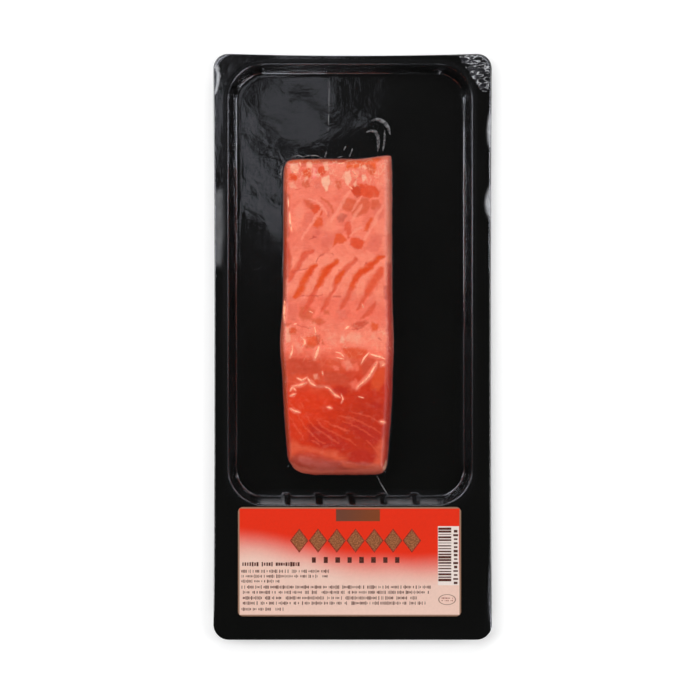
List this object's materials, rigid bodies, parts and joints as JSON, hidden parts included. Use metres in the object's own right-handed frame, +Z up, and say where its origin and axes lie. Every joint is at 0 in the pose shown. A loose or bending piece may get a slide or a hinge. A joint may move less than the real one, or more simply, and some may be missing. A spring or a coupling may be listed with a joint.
{
  "type": "pack of salted trout fillet",
  "caption": "Flat black tray with a cut of salted trout fillet in its well, under clear skin film, and a plain red and pale label across one end.",
  "frame": {"origin": "under the middle of the pack, on the surface it lies on", "axes": "+X across the pack, +Y along it away from the label, +Z up out of the shown side"},
  "size_m": [0.134, 0.282, 0.0202],
  "materials": {
    "tray_plastic": "glossy black thermoformed sheet",
    "fish_flesh": "moist orange-red flesh",
    "clear_film": "thin clear film, glossy",
    "label_paper": "printed paper, satin"
  },
  "bodies": {
    "root": {"tray": "tray_plastic", "fillet": "fish_flesh", "film": "clear_film", "label": "label_paper"}
  },
  "joints": []
}
